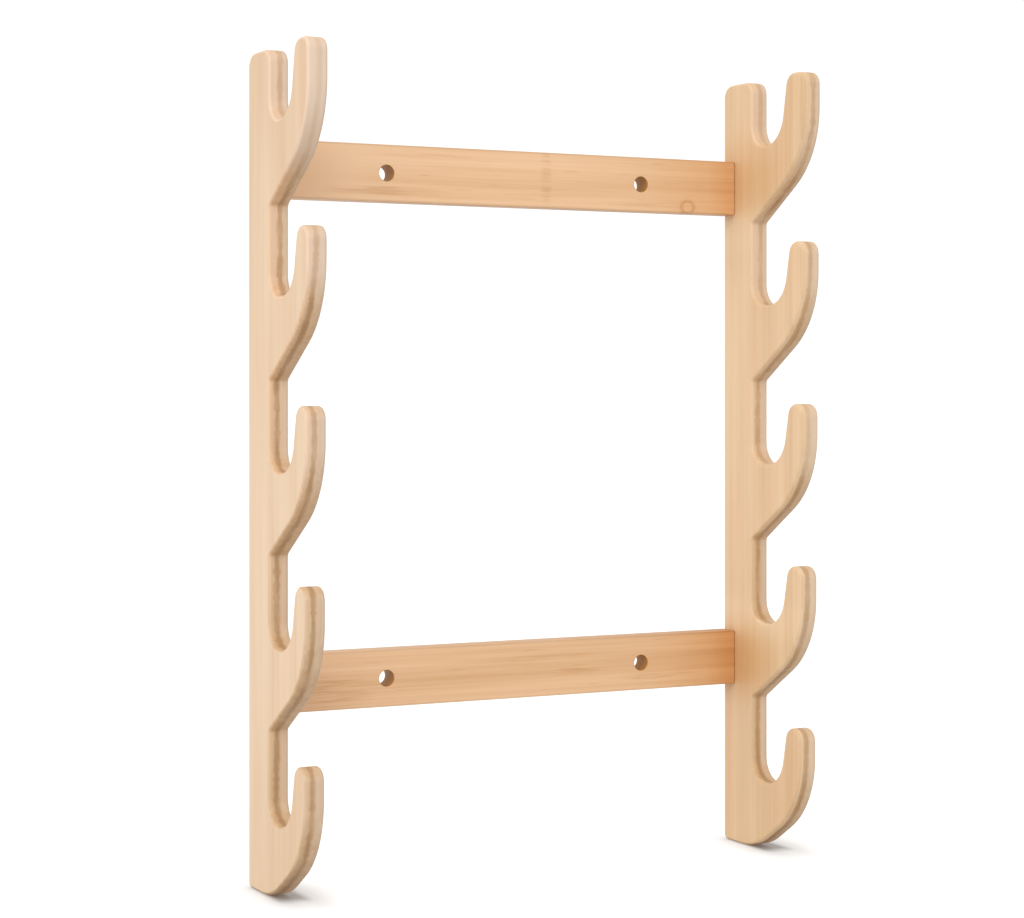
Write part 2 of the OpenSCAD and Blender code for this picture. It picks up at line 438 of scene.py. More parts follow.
def outline_corner(graph, given, hooks):
    """Depth, height and radius of the outline's corner that has this point's number.

    Corner 0 is the heel. Each hook's corners follow from the foot up, and the last two are at
    the strip's top. In the list of kinds, the heel and the strip's top come after a hook's."""
    step = graph.node("GeometryNodeInputIndex")[0] - 1.0
    hook = (step / CORNERS_PER_HOOK).floor()
    kind = step - hook * CORNERS_PER_HOOK
    heel = CORNERS_PER_HOOK
    past_hooks = step > hooks * CORNERS_PER_HOOK - 0.5
    kind = kind.toward(kind + (heel + 1), past_hooks).toward(heel, step < -0.5)
    hook = graph.math("MAXIMUM", graph.math("MINIMUM", hook, hooks - 1.0), 0.0)
    is_top = hook > hooks - 1.5
    is_bottom = hook < 0.5
    slot_floor = given["foot_level"] + given["foot_height"] + hook * given["pitch"]
    reach = given["reach"] - given["reach_step"] * (hooks - 1.0 - hook)
    tip = slot_floor + given["prong_height"].toward(given["top_prong_height"], is_top)
    strip_top = slot_floor + given["strip_top_height"]
    inner = reach - given["prong_width"].toward(given["top_prong_width"], is_top)
    root_depth = given["strip_depth"].toward(given["foot_depth"], is_bottom)
    root_level = (slot_floor - given["under_drop"]).toward(given["foot_level"], is_bottom)
    root_radius = given["root_radius"].toward(given["toe_radius"], is_bottom)
    nose_level = root_level + (reach - root_depth) * graph.math("TANGENT", given["under_slope"])
    kinds = [
        (root_depth, root_level, root_radius),
        (reach, nose_level, given["hook_radius"]),
        (reach, tip, given["tip_radius"]),
        (inner, tip, given["tip_radius"]),
        (inner - given["prong_lean"], slot_floor, given["slot_front_radius"]),
        (given["strip_depth"], slot_floor, given["slot_rear_radius"]),
        (0.0, given["foot_level"], given["heel_radius"]),
        (given["strip_depth"], strip_top, given["tip_radius"]),
        (0.0, strip_top, given["tip_radius"]),
    ]
    values = {1 + number: graph.vector(*corner) for number, corner in enumerate(kinds)}
    values["Index"] = kind
    return graph.split(graph.node("GeometryNodeIndexSwitch", values, data_type="VECTOR",
                                  choices=len(kinds))[0])


def board_group(board):
    """A hooked board: an outline whose corners follow from the hook's number, rounded and extruded."""
    settings = {name: ("Float", getattr(board, name)) for name in BOARD_LENGTHS}
    settings["under_slope"] = ("Float", board.under_slope)
    settings["hooks"] = ("Int", board.hooks)
    for name in ("foot_level", "middle", "thickness"):
        settings[name] = ("Float", 0.0)
    settings["material"] = ("Material", None)
    graph, given, identifiers = new_group("Hooked Board", settings)
    count = given["hooks"] * CORNERS_PER_HOOK + OTHER_CORNERS
    line = graph.node("GeometryNodeCurvePrimitiveLine")[0]
    line = graph.node("GeometryNodeResampleCurve", {"Curve": line, "Count": count}, mode="COUNT")[0]
    depth, height, radius = outline_corner(graph, given, given["hooks"])
    line = graph.node("GeometryNodeSetPosition",
                      {"Geometry": line, "Position": graph.vector(depth, height, 0.0)})[0]
    line = graph.node("GeometryNodeSetSplineCyclic", {"Geometry": line, "Cyclic": True})[0]
    line = graph.node("GeometryNodeFilletCurve",
                      {"Curve": line, "Count": CORNER_STEPS, "Radius": radius, "Limit Radius": True},
                      mode="POLY")[0]
    side = graph.node("GeometryNodeFillCurve", {"Curve": line}, mode="NGONS")[0]
    raised = graph.node("GeometryNodeExtrudeMesh",
                        {"Mesh": side, "Offset": (0.0, 0.0, 1.0), "Offset Scale": given["thickness"],
                         "Individual": False}, mode="FACES")["Mesh"]
    under = graph.node("GeometryNodeFlipFaces", {"Mesh": side})[0]
    solid = graph.node("GeometryNodeJoinGeometry", {"Geometry": [raised, under]})[0]
    solid = graph.node("GeometryNodeMergeByDistance", {"Geometry": solid, "Distance": MERGE_DISTANCE})[0]
    forward, up, out = graph.split(graph.node("GeometryNodeInputPosition")[0])
    stood = graph.vector(given["middle"] + given["thickness"] / 2.0 - out, -forward, up)
    solid = graph.node("GeometryNodeSetPosition", {"Geometry": solid, "Position": stood})[0]
    finished(graph, to_round(graph, solid, 1.0), given["material"])
    return graph.tree, identifiers


def rail_group(rail):
    """A rail: a bar with two screw holes through it."""
    settings = {name: ("Float", getattr(rail, name)) for name in RAIL_LENGTHS}
    for name in ("length", "height", "thickness", "level"):
        settings[name] = ("Float", 0.0)
    settings["material"] = ("Material", None)
    graph, given, identifiers = new_group("Cross Rail", settings)
    depth = -given["thickness"] / 2.0
    size = graph.vector(given["length"], given["thickness"], given["height"])
    bar = graph.node("GeometryNodeMeshCube", {"Size": size})["Mesh"]
    bar = graph.node("GeometryNodeTransform",
                     {"Geometry": bar, "Translation": graph.vector(0.0, depth, given["level"])})[0]
    number = graph.node("GeometryNodeInputIndex")[0]
    screw = graph.vector((number - 0.5) * given["screw_gap"], depth, given["level"])
    bar = drilled(graph, bar, SCREW_HOLES, screw, (math.pi / 2, 0.0, 0.0), given["screw_hole"] / 2.0,
                  given["thickness"] * 2.0, SCREW_HOLE_SIDES)
    x, _, z = graph.split(graph.node("GeometryNodeInputPosition")[0])
    across, up = abs(x) - given["screw_gap"] / 2.0, z - given["level"]
    on_rim = across * across + up * up < given["screw_hole"] * given["screw_hole"]
    share = 1.0 + on_rim * (given["rim_round"] / given["edge_round"] - 1.0)
    finished(graph, to_round(graph, bar, share), given["material"])
    return graph.tree, identifiers


def joint_group():
    """Blind dowel holes in a piece: a pair, one above the other, at each of two places."""
    settings = {"piece": ("Geometry", None), "first": ("Vector", (0.0, 0.0, 0.0)),
                "second": ("Vector", (0.0, 0.0, 0.0)), "hole": ("Float", 0.0), "gap": ("Float", 0.0),
                "depth": ("Float", 0.0), "material": ("Material", None)}
    graph, given, identifiers = new_group("Dowel Joint", settings)
    number = graph.node("GeometryNodeInputIndex")[0]
    pair = (number / 2.0).floor()
    centre = graph.node("ShaderNodeMix", {"Factor": pair, "A": given["first"], "B": given["second"]},
                        data_type="VECTOR")["Result"]
    raised = graph.vector(0.0, 0.0, (number - 2.0 * pair - 0.5) * given["gap"])
    place = graph.node("ShaderNodeVectorMath", {0: centre, 1: raised}, operation="ADD")[0]
    piece = drilled(graph, given["piece"], DOWEL_HOLES, place, (0.0, math.pi / 2, 0.0),
                    given["hole"] / 2.0, given["depth"] * 2.0, DOWEL_HOLE_SIDES)
    piece = graph.node("GeometryNodeSetShadeSmooth", {"Geometry": piece, "Shade Smooth": True},
                       domain="FACE")[0]
    piece = graph.node("GeometryNodeSetShadeSmooth",
                       {"Geometry": piece, "Selection": sharp_edges(graph), "Shade Smooth": False},
                       domain="EDGE")[0]
    finished(graph, piece, given["material"])
    return graph.tree, identifiers


def joint_values(rail, places, depth, material):
    """Values of the Dowel Joint group, from the X and Z of its two places and the holes' depth."""
    first, second = ((x, RAIL_FRONT / 2, z) for x, z in places)
    return {"first": first, "second": second, "hole": rail.dowel_hole, "gap": rail.dowel_gap,
            "depth": depth, "material": material}


def add_nodes(piece, group, values):
    """Gives the piece a Geometry Nodes modifier with this group and these inputs."""
    tree, identifiers = group
    nodes = piece.modifiers.new(tree.name, "NODES")
    nodes.node_group = tree
    for label, value in values.items():
        nodes[identifiers[label]] = value


def built(name, shape, shape_values, round_radius, joint, holes):
    """A plain mesh object: its shape, with the marked edges rounded and the dowel holes drilled."""
    draft = placed(name + "_draft", bpy.data.meshes.new(name + "_draft"))
    add_nodes(draft, shape, shape_values)
    bevel = draft.modifiers.new("Rounding", "BEVEL")
    bevel.limit_method = "WEIGHT"
    bevel.width = round_radius
    bevel.segments = ROUNDING_STEPS
    bevel.use_clamp_overlap = False
    add_nodes(draft, joint, holes)
    draft.modifiers.new("Shading", "WEIGHTED_NORMAL").keep_sharp = True
    evaluated = draft.evaluated_get(bpy.context.evaluated_depsgraph_get())
    mesh = bpy.data.meshes.new_from_object(evaluated)
    mesh.name = name
    if not mesh.polygons:
        raise RuntimeError(f"{name} came out with no faces")
    bpy.data.objects.remove(draft)
    return placed(name, mesh)


def handed_over(piece, node):
    """The piece rides on the rack and stands for the node, which is hidden."""
    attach(piece, "root")
    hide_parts(node)


# Tools for the materials

class Layer(NamedTuple):
    """Noise in the wood: waves in a metre along X, Y and Z, its own shift, detail and roughness."""
    scale: tuple
    shift: float
    detail: float = 2.0
    roughness: float = 0.5


# How far one step of the seed moves the noise, the strips and their tones
NOISE_STEP = (1.0, 0.37, 1.71)
STRIP_STEP = 0.31
TONE_STEP = 0.173
# Share of a strip's width that the glue line takes up at each side
GLUE_LINE = 0.05
# Tone of wood in which every layer stands at its middle. A higher tone is darker
BASE_TONE = 0.1

# Satin lacquer: its fine relief, how far its roughness varies, and its shine
BUMP_STRENGTH = 0.22
BUMP_HEIGHT = 0.0003
ROUGHNESS_SPREAD = 0.12
LACQUER_IOR = 1.45
LACQUER_SHINE = 0.35
RELIEF_MIX = {"fibre": 0.6, "streak": 0.4}
GLUE_HOLLOW = 0.3


def rgba(value):
    return (*value[:3], 1.0)


def multiplied(value, tint):
    """A fixed colour, multiplied by a tint."""
    return rgba([channel * share for channel, share in zip(value, tint)])


def ease(value, start, end, full=1.0):
    """0 up to the start, full past the end and smooth between."""
    return value.graph.node("ShaderNodeMapRange",
                            {"Value": value, "From Min": start, "From Max": end, "To Max": full},
                            interpolation_type="SMOOTHSTEP")[0]


def near(distance, reach, fade, full=1.0):
    """Full within reach of a mark and 0 past the fade."""
    return full - ease(abs(distance), reach, reach + fade, full)


def apart(across, up):
    """Distance from the point where both are 0."""
    return across.graph.math("SQRT", across * across + up * up)


def noise(place, layer, seed):
    """The layer's value between 0 and 1."""
    shift = seed + layer.shift
    moved = place.graph.node("ShaderNodeMapping",
                             {"Vector": place, "Location": tuple(shift * step for step in NOISE_STEP),
                              "Scale": layer.scale}, vector_type="POINT")[0]
    return place.graph.node("ShaderNodeTexNoise",
                            {"Vector": moved, "Scale": 1.0, "Detail": layer.detail,
                             "Roughness": layer.roughness})[0]


def grain_of(place, layers, seed):
    """The value of each layer, by name."""
    return {name: noise(place, layer, seed) for name, layer in layers.items()}


def strips(across, width, seed):
    """Tone of each strip, and the glue line at its sides."""
    graph = across.graph
    place = across / width + seed * STRIP_STEP
    number = place.floor()
    inside = place - number
    tone = graph.node("ShaderNodeTexWhiteNoise", {"W": number + seed * TONE_STEP},
                      noise_dimensions="1D")[0]
    return tone, 1.0 - ease(graph.math("MINIMUM", inside, 1.0 - inside), 0.0, GLUE_LINE)


def deepened(grain, shares):
    """Tone of the wood, where each layer has its share and the value at which it changes nothing."""
    tone = BASE_TONE
    for name, (share, middle) in shares.items():
        tone = tone + share * (grain[name] - middle)
    return tone


def mixed(grain, shares):
    """The layers added up, each times its share."""
    total = 0.0
    for name, share in shares.items():
        total = total + share * grain[name]
    return total


def by_hook(hook, values):
    """The value for this hook, where the values run from the lowest hook up."""
    total = 0.0
    for number, value in enumerate(values):
        total = total + value * (abs(hook - number) < 0.5)
    return total


def relief(grain, line):
    """Fibres stand up a little and the glue lines lie lower."""
    return mixed(grain, RELIEF_MIX) - GLUE_HOLLOW * line


def new_material(name):
    material = bpy.data.materials.new(name)
    material.use_nodes = True
    material.node_tree.nodes.clear()
    return material, Graph(material.node_tree)


def lacquered(graph, colour_wire, height, roughness):
    """Ends the material: a satin surface whose roughness and relief follow the height."""
    bump = graph.node("ShaderNodeBump",
                      {"Strength": BUMP_STRENGTH, "Distance": BUMP_HEIGHT, "Height": height})[0]
    shader = graph.node("ShaderNodeBsdfPrincipled",
                        {"Base Color": colour_wire, "Normal": bump, "IOR": LACQUER_IOR,
                         "Roughness": height * ROUGHNESS_SPREAD + (roughness - ROUGHNESS_SPREAD / 2),
                         "Specular IOR Level": LACQUER_SHINE})[0]
    graph.node("ShaderNodeOutputMaterial", {"Surface": shader})
    graph.spread_out()


# Bamboo of the boards

# Fibre and streak are in the sides and outer plies, drift and rosy in the sides, cross and blotch in
# the core, and wander and ragged bend the core's borders
BOARD_LAYERS = {
    "fibre": Layer((900.0, 900.0, 12.0), 0.0, 3.0, 0.6),
    "streak": Layer((160.0, 260.0, 5.0), 5.0),
    "drift": Layer((20.0, 45.0, 6.0), 9.0),
    "rosy": Layer((10.0, 70.0, 9.0), 21.0),
    "cross": Layer((500.0, 90.0, 90.0), 3.0, 2.0, 0.6),
    "blotch": Layer((60.0, 35.0, 35.0), 13.0),
    "wander": Layer((60.0, 60.0, 60.0), 7.0, 1.0),
    "ragged": Layer((40.0, 260.0, 260.0), 31.0, 1.0),
}
# How much each layer deepens a side, and the value at which it changes nothing
BOARD_SHARES = {"strip": (0.32, 0.5), "fibre": (0.4, 0.5), "streak": (0.6, 0.45), "drift": (0.9, 0.45)}
# How much the glue lines between the strips deepen a side
BOARD_GLUE = 0.12
# Shares of the layers that the plies in the cut edge show
PLY_MIX = {"fibre": 0.5, "streak": 0.5}
CORE_MIX = {"cross": 0.45, "blotch": 0.55}
BOARD_SEEDS = {"left": 3.0, "right": 11.0}
# Which way along X the rails are from each board
TOWARD_RAILS = {"left": 1.0, "right": -1.0}

# Gradual changes: where each starts, where it is full, and how much it is then where that isn't 1
BOARD_TONES = (-0.5, 1.1)  # tone at which a side is all light, and all dark
BOARD_ENDS = (0.10, 0.235, 0.22)  # deeper tone, by height from the board's middle
# Painted shade towards the floor
BOARD_FOOT_SHADE = (0.02, 0.24, 0.14)  # deeper tone, by depth below the origin
BLUSH_RANGE = (0.35, 0.7)  # blush, by the rosy layer
PLY_TONES = (0.3, 0.72)  # outer plies from light to dark, by the mix of their layers
PLY_DROP = (-0.05, 0.15)  # deeper left ply, by depth below the origin
PLY_SIDES = (-0.001, 0.003)  # from left ply to right ply, by distance from the middle
CORE_TONES = (0.36, 0.64)  # core from light to dark, by the mix of its layers
CORE_DROP = (-0.05, 0.2, 0.08)  # darker core, by depth below the origin
CORE_TURN = (-0.09, -0.01)  # core's drift to the left, by depth below the origin
# Deeper tint for end grain, and painted shade on the downward slopes
END_GRAIN_AND_SHADE = (0.15, 0.85)  # end grain, by how much the surface faces up or down
ON_PRONG = (0.004, 0.012)  # prongs, by distance in front of the strip
ON_STRIP_EDGE = (0.5, 0.85)  # strip's cut edge, by share of the strip's depth
PALE_FROM = (-0.008, 0.012)  # rubbed pale, by height above the slot floor
# Painted highlight on the rounded rim
RIM_HIGHLIGHT_FADE = (-0.0008, -0.0002, 0.5)  # light rim, by distance from its inner border
RIM_SIDE = (0.0, 0.002)  # end of the rim, which is left of the middle, by distance right of it

# What rubbing leaves: how pale the plies turn, and how far grain and core are hidden
RUBBED_PALE = 0.8
RUBBED_HIDES_GRAIN = 0.5
RUBBED_HIDES_CORE = 0.75
# Share of the tint for end grain and painted shade that the core takes
CORE_END_GRAIN_AND_SHADE = 0.45

# Band of painted light on a board's inner side, lifting the shade beside each rail: how much nearer the
# middle of the rack than each rail it is, and its half height, fade and strength
PAINTED_LIGHT_BAND_PLACE = 0.028
PAINTED_LIGHT_BAND = (0.004, 0.014, 0.25)

# Painted shade and reflected light, in the warm tint, round each joint on a board: its middle, in rail
# thicknesses from the wall and metres above the rail's own middle, its half size, fade and strength
GLOW_OUT = 1.7
GLOW_RAISE = 0.001
GLOW_HALF_DEPTH = 0.04
GLOW_HALF_HEIGHT = 0.027
GLOW_FADE = (0.2, 1.1)
GLOW = 0.85
# How much higher the upper joints' glow stands, and how much weaker it is
UPPER_GLOW_RAISE = 0.006
UPPER_GLOW_LESS = 0.25

# How far the core ply wanders from its line, how ragged it is, how soft its sides are, and how
# much earlier it drifts on the prongs
CORE_WANDER = 0.0012
CORE_RAGGED = 0.0022
CORE_BLUR = 0.001
CORE_EARLIER_ON_PRONG = 0.06

# How far below its floor a slot's part of the strip starts
SLOT_START = 0.02
# Painted shade on the cut edge at the foot, near the floor: its height and fade
FOOT_SHADE = (0.004, 0.03)


class BoardPlace:
    """Where a point of a board lies, measured from the board's own faces, strip, hooks and joints."""

    def __init__(self, graph, side, board):
        low, high = BOARD_BOX[side]
        half = (high.x - low.x) / 2
        self.graph = graph
        self.place = graph.node("ShaderNodeTexCoord")["Object"]
        x, self.y, self.z = graph.split(self.place)
        self.across = x - (low.x + high.x) / 2
        self.inset = half - abs(self.across)
        self.inward = ease(self.across * TOWARD_RAILS[side], 0.0, half)
        self.half = half
        self.from_middle = abs(self.z - (low.z + high.z) / 2)
        self.above_foot = self.z - low.z
        self.is_upper = self.z > 0.0
        self.above_rail = abs(self.z) - RAIL_LEVEL["upper"]
        self.on_prong = ease(-self.y, *(board.strip_depth + edge for edge in ON_PRONG))
        self.on_strip_edge = ease(-self.y, *(board.strip_depth * share for share in ON_STRIP_EDGE))
        above_slots = self.above_foot - board.foot_height
        self.hook = (above_slots / board.pitch + 0.5).floor()
        self.above_floor = above_slots - self.hook * board.pitch
        self.slot = ((above_slots + SLOT_START) / board.pitch).floor()


def board_side(at, grain, line, finish, tint):
    """A board's side: upright strips, deeper towards the ends, with painted shade towards the foot, a band
    of painted light beside each rail and painted warm shade and reflected light round each joint.
    """
    graph = at.graph
    tone = deepened(grain, BOARD_SHARES) + BOARD_GLUE * line
    # Deeper towards the ends, and painted shade deepening towards the foot
    tone = tone + ease(at.from_middle, *BOARD_ENDS) + ease(-at.z, *BOARD_FOOT_SHADE)
    # Painted light in a band beside each rail, lifting the shade there
    tone = tone - at.inward * near(at.above_rail + PAINTED_LIGHT_BAND_PLACE, *PAINTED_LIGHT_BAND)
    side = graph.blend(multiplied(finish.board_light, tint), multiplied(finish.board_dark, tint),
                       ease(tone, *BOARD_TONES))
    side = graph.tinted(side, finish.blush, ease(grain["rosy"], *BLUSH_RANGE))
    # Painted warm shade and reflected light round each joint, on the half of the board nearer the rails
    from_joint = apart((at.y - GLOW_OUT * RAIL_FRONT) / GLOW_HALF_DEPTH,
                       (at.above_rail - GLOW_RAISE - UPPER_GLOW_RAISE * at.is_upper) / GLOW_HALF_HEIGHT)
    glow = near(from_joint, *GLOW_FADE) * at.inward * (GLOW - UPPER_GLOW_LESS * at.is_upper)
    return graph.tinted(side, finish.honey, glow)


def outer_plies(at, grain, finish, tint):
    """The two outer plies in the cut edge, with their fibre along it. They differ in tone."""
    graph = at.graph
    tone = ease(mixed(grain, PLY_MIX), *PLY_TONES)
    left = graph.blend(multiplied(finish.edge_light, tint), multiplied(finish.edge_dark, tint), tone)
    left = graph.tinted(left, finish.left_ply, ease(-at.z, *PLY_DROP))
    right = graph.blend(rgba(finish.edge_light), rgba(finish.edge_dark), tone)
    right = graph.tinted(right, finish.right_ply, 1.0)
    return graph.blend(left, right, ease(at.across, *PLY_SIDES))


def core_ply(at, grain, finish, tint):
    """The darker core ply in the cut edge, and where it shows."""
    tone = mixed(grain, CORE_MIX) + ease(-at.z, *CORE_DROP)
    core = at.graph.blend(multiplied(finish.core_light, tint), multiplied(finish.core_dark, tint),
                          ease(tone, *CORE_TONES))
    drift = ease(CORE_EARLIER_ON_PRONG * at.on_prong - at.z, *CORE_TURN, finish.core_drift)
    off_core = at.across - finish.core_shift + drift + CORE_WANDER * (grain["wander"] - 0.5)
    inside = at.half - abs(off_core) + CORE_RAGGED * (grain["ragged"] - 0.5)
    return core, ease(inside, finish.ply_thickness - CORE_BLUR, finish.ply_thickness + CORE_BLUR)


def cut_edge(at, grain, finish, tint, rubbed):
    """Where the outline is cut: three plies, paler where they are rubbed, deeper on end grain and in painted
    shade where the edge faces up or down, and in painted shade at the foot.
    """
    graph = at.graph
    plies = graph.blend(outer_plies(at, grain, finish, tint), multiplied(finish.rubbed, tint),
                        RUBBED_PALE * rubbed)
    core, in_core = core_ply(at, grain, finish, tint)
    # Deeper where the cut edge faces up or down: end grain, and painted shade on the downward slopes
    _, _, facing_up = graph.split(graph.node("ShaderNodeNewGeometry")["Normal"])
    end_grain = ease(abs(facing_up), *END_GRAIN_AND_SHADE) * (1.0 - RUBBED_HIDES_GRAIN * rubbed)
    plies = graph.tinted(plies, finish.end_grain, end_grain)
    core = graph.tinted(core, finish.end_grain, CORE_END_GRAIN_AND_SHADE * end_grain)
    cut = graph.blend(plies, core, in_core * (1.0 - RUBBED_HIDES_CORE * rubbed))
    # Painted shade on the cut edge near the floor
    return graph.tinted(cut, finish.worn, near(at.above_foot, *FOOT_SHADE))


def board_material(name, side_name, finish, board):
    """Laminated bamboo: strips that run up the board's sides, and three plies in its cut edge, with a
    painted highlight on the prongs' rounded rim where the board has one.
    """
    seed = BOARD_SEEDS[side_name]
    tint, prongs, slots, drops, fade, rim_width = (
        getattr(finish, f"{side_name}_{key}") for key in ("tint", "prongs", "slots", "drops", "fade", "rim"))
    material, graph = new_material(name)
    at = BoardPlace(graph, side_name, board)
    grain = grain_of(at.place, BOARD_LAYERS, seed)
    grain["strip"], line = strips(at.y, finish.board_strip, seed)
    side = board_side(at, grain, line, finish, tint)
    pale_prong = ease(at.above_floor + by_hook(at.hook, drops), *PALE_FROM) * by_hook(at.hook, prongs)
    pale_strip = by_hook(at.slot, slots) * at.on_strip_edge
    cut = cut_edge(at, grain, finish, tint, pale_strip.toward(pale_prong, at.on_prong))
    rim = rim_width * at.on_prong
    # Painted highlight along the rounded rim of the prongs
    if rim_width:
        start, end, full = RIM_HIGHLIGHT_FADE
        share = at.on_prong * ease(at.inset, rim + start, rim + end, full)
        side = graph.blend(side, multiplied(finish.rim, tint), share)
    reached = at.inset + rim * ease(at.across, *RIM_SIDE)
    colour_wire = graph.blend(side, cut, ease(reached, rim, rim + fade))
    lacquered(graph, colour_wire, relief(grain, line), finish.gloss)
    return material


# Bamboo of the rails

class Mark(NamedTuple):
    """A dark streak on a rail: where its middle is, its half size, and how much it deepens the tone."""
    across: float
    up: float
    half_length: float
    half_height: float
    depth: float


class Knot(NamedTuple):
    """A small ring of dark wood on a rail."""
    across: float
    up: float
    radius: float


class RailLook(NamedTuple):
    """One rail's own wood: how deep its tone is, also low down, and how much light is painted on its left
    end against the left board's shade.
    """
    seed: float
    depth: float
    lower_depth: float
    left_paleness: float
    marks: tuple
    knots: tuple


RAIL_LOOKS = {
    "upper": RailLook(seed=21.0, depth=0.0, lower_depth=0.0, left_paleness=0.45,
                      marks=(Mark(0.020, 0.0, 0.005, 0.03, 0.3), Mark(-0.095, -0.0105, 0.06, 0.004, 0.35),
                             Mark(0.10, -0.012, 0.05, 0.003, 0.25), Mark(-0.06, 0.0115, 0.045, 0.003, 0.25)),
                      knots=(Knot(0.121, -0.0132, 0.0036),)),
    "lower": RailLook(seed=34.0, depth=0.14, lower_depth=0.14, left_paleness=0.0,
                      marks=(Mark(-0.12, -0.006, 0.03, 0.012, 0.35), Mark(0.035, -0.003, 0.035, 0.003, 0.45),
                             Mark(0.10, -0.008, 0.04, 0.003, 0.3), Mark(0.02, 0.006, 0.05, 0.003, 0.25)),
                      knots=()),
}
RAIL_LAYERS = {
    "fibre": Layer((12.0, 900.0, 900.0), 0.0, 3.0, 0.6),
    "streak": Layer((5.5, 220.0, 300.0), 5.0),
    "drift": Layer((4.0, 30.0, 60.0), 9.0),
    "dash": Layer((45.0, 500.0, 900.0), 13.0, 1.0),
    "wave": Layer((14.0, 14.0, 60.0), 17.0),
}
# How much each layer deepens a rail, and the value at which it changes nothing
RAIL_SHARES = {"strip": (0.25, 0.5), "fibre": (0.35, 0.5), "streak": (0.8, 0.45), "drift": (0.7, 0.45)}
# How much the glue lines between the strips deepen a rail
RAIL_GLUE = 0.08

# Gradual changes: where each starts, where it is full, and how much it is then if both rails share it
RAIL_TONES = (-0.45, 1.1)  # tone at which a rail is all light, and all dark
DASHES = (0.68, 0.8, 0.35)  # short dark dashes, by their layer
LOWER_HALF = (-0.002, 0.012)  # deeper tone, by depth below the rail's middle
# Painted light on a rail's left end, against the shade of the left board
PAINTED_LIGHT_LEFT_END = (0.09, 0.14)  # paler tone, by distance left of the middle
# Both rails also turn paler from here to their left ends, by this much: painted light against the left
# board's shade
PAINTED_LIGHT_FROM = 0.04
PAINTED_LIGHT_LEFT = 0.3

# How the marks and knots waver, break up and fade
MARK_WAVE = 0.004
MARK_BREAK_WAVE = 0.4
MARK_BREAKS = (0.3, 0.62)
MARK_FADE = (0.3, 0.7)
KNOT_WAVE = 0.003
KNOT_RING = (0.0002, 0.0012, 0.4)
KNOT_INSIDE = 0.12
# How much longer a knot is along the rail than up it
KNOT_STRETCH = 1.25

# Painted warm shade and reflected light on a rail's right part, next to the right board: where it starts and
# how strong it grows, on any rail and for a rail's own depth of tone, and how far from the end it is full
WARM_SHADE_START = 0.075
WARM_SHADE = 0.55
DEEP_WARM_SHADE_START = 0.105
DEEP_WARM_SHADE = 2.5
WARM_SHADE_FULL = 0.012
# Painted shade at the joints, in the same warm tint: metres from the rail's end at which it starts and is
# full
RIGHT_END = (0.024, 0.002)
LEFT_END = (0.007, 0.001)
END_WARM_SHADE = 0.6

# Painted shade along a rail's long rounded edges: metres from the edge at which it starts and is full, and
# its strength
EDGE_SHADE = (0.0016, 0.0004, 0.7)
# How far past a screw hole's wall its colour reaches and fades
BORE_REACH = 0.0001
BORE_FADE = 0.0004


def marked(tone, x, up, grain, look):
    """The tone with the rail's own marks and knots in it."""
    wave = grain["wave"] - 0.5
    unbroken = ease(grain["dash"] + MARK_BREAK_WAVE * wave, *MARK_BREAKS)
    for mark in look.marks:
        away = apart((x - mark.across) / mark.half_length,
                     (up - mark.up + MARK_WAVE * wave) / mark.half_height)
        tone = tone + near(away, *MARK_FADE, mark.depth) * unbroken
    for knot in look.knots:
        ring = apart((x - knot.across) / KNOT_STRETCH, up - knot.up + KNOT_WAVE * wave) - knot.radius
        tone = tone + near(ring, *KNOT_RING) + near(ring, 0.0, knot.radius, KNOT_INSIDE)
    return tone


def rail_material(name, place_name, finish, rail):
    """Solid bamboo strips that run along the rail, with its own marks; painted light towards its left end,
    painted warm shade and reflected light on its right part, and painted shade at its ends and along its
    long edges.
    """
    look = RAIL_LOOKS[place_name]
    low, high = RAIL_BOX[place_name]
    end, half = high.x, (high.z - low.z) / 2
    material, graph = new_material(name)
    place = graph.node("ShaderNodeTexCoord")["Object"]
    x, _, z = graph.split(place)
    up = z - RAIL_LEVEL[place_name]
    grain = grain_of(place, RAIL_LAYERS, look.seed)
    grain["strip"], line = strips(up, finish.rail_strip, look.seed)
    tone = deepened(grain, RAIL_SHARES) + RAIL_GLUE * line + ease(grain["dash"], *DASHES) + look.depth
    # Lighter towards the left end: painted light against the shade of the left board. Deeper on the lower
    # half
    tone = tone - ease(-x, PAINTED_LIGHT_FROM, end, PAINTED_LIGHT_LEFT) + ease(-up, *LOWER_HALF, look.lower_depth)
    tone = tone - ease(-x, *PAINTED_LIGHT_LEFT_END, look.left_paleness)
    tone = marked(tone, x, up, grain, look)
    colour_wire = graph.blend(rgba(finish.rail_light), rgba(finish.rail_dark), ease(tone, *RAIL_TONES))
    # Painted warm shade and reflected light on the right part, and painted shade at both joints
    end_warm_shade = END_WARM_SHADE + look.depth
    at_right_end = ease(x, *(end - edge for edge in RIGHT_END), end_warm_shade)
    at_left_end = ease(-x, *(end - edge for edge in LEFT_END), end_warm_shade)
    for share in (ease(x, WARM_SHADE_START, end - WARM_SHADE_FULL, WARM_SHADE),
                  ease(x, DEEP_WARM_SHADE_START, end - WARM_SHADE_FULL, DEEP_WARM_SHADE * look.depth),
                  at_right_end + at_left_end):
        colour_wire = graph.tinted(colour_wire, finish.honey, share)
    # Painted shade along the rail's long rounded edges
    start, stop, full = EDGE_SHADE
    colour_wire = graph.tinted(colour_wire, finish.worn, ease(abs(up), half - start, half - stop, full))
    from_axis = apart(abs(x) - rail.screw_gap / 2.0, up)
    colour_wire = graph.blend(colour_wire, rgba(finish.bore),
                              near(from_axis, rail.screw_hole / 2.0 + BORE_REACH, BORE_FADE))
    lacquered(graph, colour_wire, relief(grain, line), finish.gloss)
    return material


# Beech of the dowels

DOWEL_LAYERS = {
    "fibre": Layer((18.0, 1100.0, 1100.0), 4.0, 3.0, 0.6),
    "fleck": Layer((160.0, 1600.0, 1600.0), 8.0, 1.0),
}
